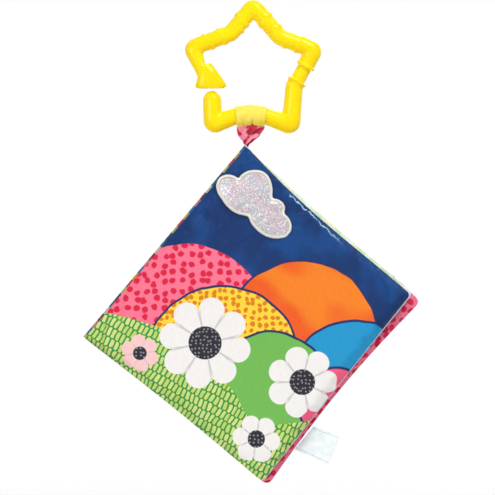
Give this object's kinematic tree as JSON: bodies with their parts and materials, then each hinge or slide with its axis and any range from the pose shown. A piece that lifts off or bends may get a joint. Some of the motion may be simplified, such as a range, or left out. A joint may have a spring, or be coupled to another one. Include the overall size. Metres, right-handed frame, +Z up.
{
  "type": "pram activity book",
  "caption": "Square padded cloth book that hangs by a gathered fabric loop from a star-shaped plastic link; its cover and page turn about the spine and the loop swings on the link.",
  "frame": {"origin": "the star link's inner top corner, where the pram's bar or hook bears", "axes": "+Z up as it hangs, +Y away from the viewer through the covers, +X to the viewer's right"},
  "size_m": [0.1958, 0.0184, 0.2847],
  "materials": {
    "star_plastic": "gloss",
    "loop_satin": "satin",
    "spotted_pink_cotton": "matte",
    "printed_cover_satin": "satin",
    "cyan_page_satin": "satin",
    "lime_page_satin": "satin",
    "lilac_page_satin": "satin",
    "striped_spine_satin": "satin",
    "polyester_wadding": "matte",
    "crinkle_film": "gloss",
    "glitter_fabric": "satin",
    "cloud_foam": "matte",
    "satin_stitch_thread": "satin",
    "woven_label_tape": "matte"
  },
  "bodies": {
    "star": {"star_ring": "star_plastic"},
    "back_cover": {"loop_band": "loop_satin", "loop_neck": "spotted_pink_cotton", "back_cover_lining": "spotted_pink_cotton", "back_cover_face": "spotted_pink_cotton", "back_cover_crinkle_film": "crinkle_film", "back_cover_wadding": "polyester_wadding", "spine_back_fold": "striped_spine_satin", "back_cover_hem": "striped_spine_satin"},
    "page": {"page_front_face": "lime_page_satin", "page_back_face": "lilac_page_satin", "page_crinkle_film": "crinkle_film", "page_wadding": "polyester_wadding", "spine_front_fold": "striped_spine_satin"},
    "front_cover": {"front_cover_face": "printed_cover_satin", "front_cover_lining": "cyan_page_satin", "front_cover_crinkle_film": "crinkle_film", "front_cover_wadding": "polyester_wadding", "front_cover_hem": "printed_cover_satin", "cloud_foam_pad": "cloud_foam", "cloud_applique": "glitter_fabric", "cloud_satin_stitch": "satin_stitch_thread"},
    "label": {"woven_label": "woven_label_tape"}
  },
  "joints": [
    {"name": "loop_swing", "type": "hinge", "parent": "star", "child": "back_cover", "pos_m": [-0.00217, 0, -0.0577], "axis": [1, 0, 0], "range_deg": [-70, 90]},
    {"name": "page_turn", "type": "hinge", "parent": "back_cover", "child": "page", "pos_m": [-0.00367, 0.0022, -0.07619], "axis": [-0.6445, 0, -0.7646], "range_deg": [0, 120]},
    {"name": "cover_turn", "type": "hinge", "parent": "page", "child": "front_cover", "pos_m": [-0.00336, -0.0022, -0.07645], "axis": [-0.6445, 0, -0.7646], "range_deg": [0, 120]},
    {"name": "label_flap", "type": "hinge", "parent": "back_cover", "child": "label", "pos_m": [0.03033, 0.0046, -0.24832], "axis": [0.6445, 0, 0.7646], "range_deg": [-60, 60]}
  ]
}
